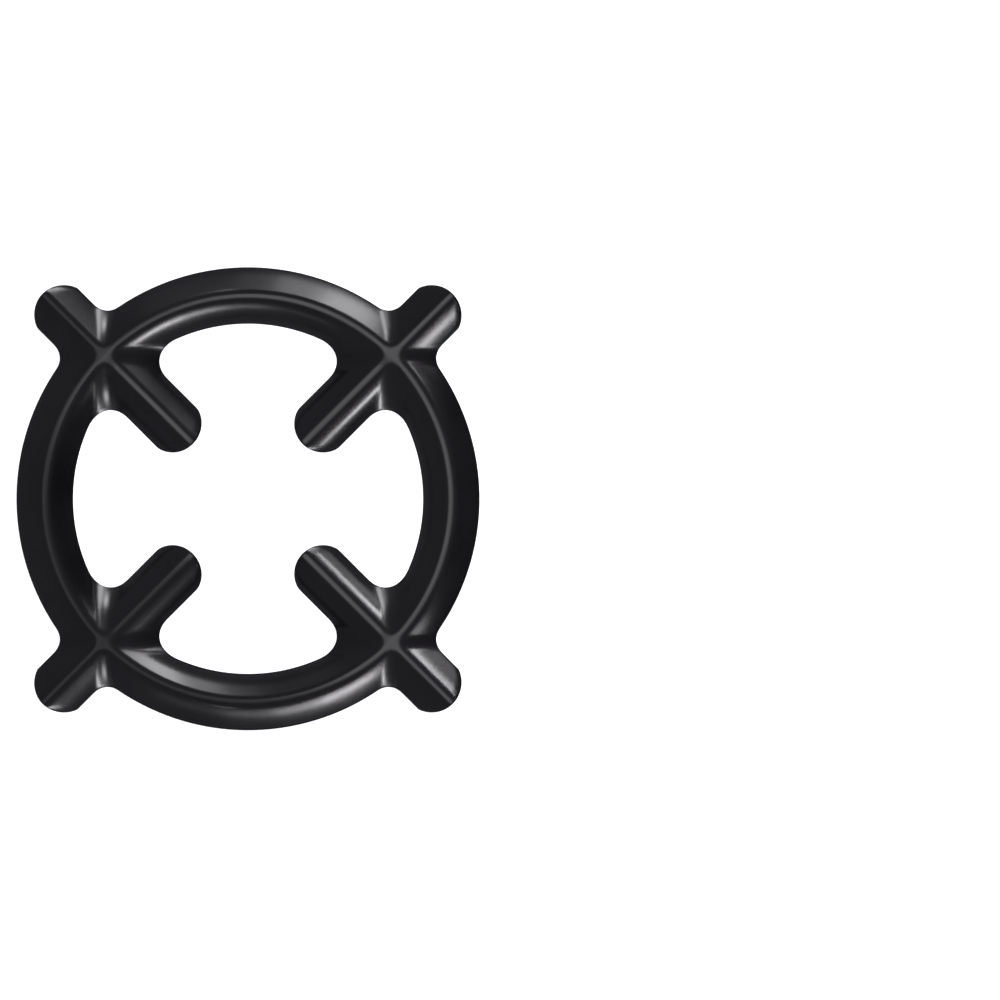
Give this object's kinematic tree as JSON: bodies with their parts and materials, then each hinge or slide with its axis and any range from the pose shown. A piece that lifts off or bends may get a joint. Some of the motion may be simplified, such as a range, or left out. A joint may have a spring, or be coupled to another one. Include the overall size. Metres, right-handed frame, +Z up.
{
  "type": "gas hob reducer ring",
  "caption": "Black enamelled steel ring with crossing ridged arms that point inward and outward; lies on a gas hob's pan supports so that a small pot stands level on its crests.",
  "frame": {"origin": "middle of the ring, in the plane that its lower edges rest on", "axes": "+Z up from the resting plane to the crests; the arms lie along X and Y, and the part looks the same after a quarter turn about Z"},
  "size_m": [0.1626, 0.1626, 0.0062],
  "materials": {
    "enamel": "semi-gloss black enamel on pressed steel sheet"
  },
  "bodies": {
    "root": {"reducer_ring": "enamel"}
  },
  "joints": []
}
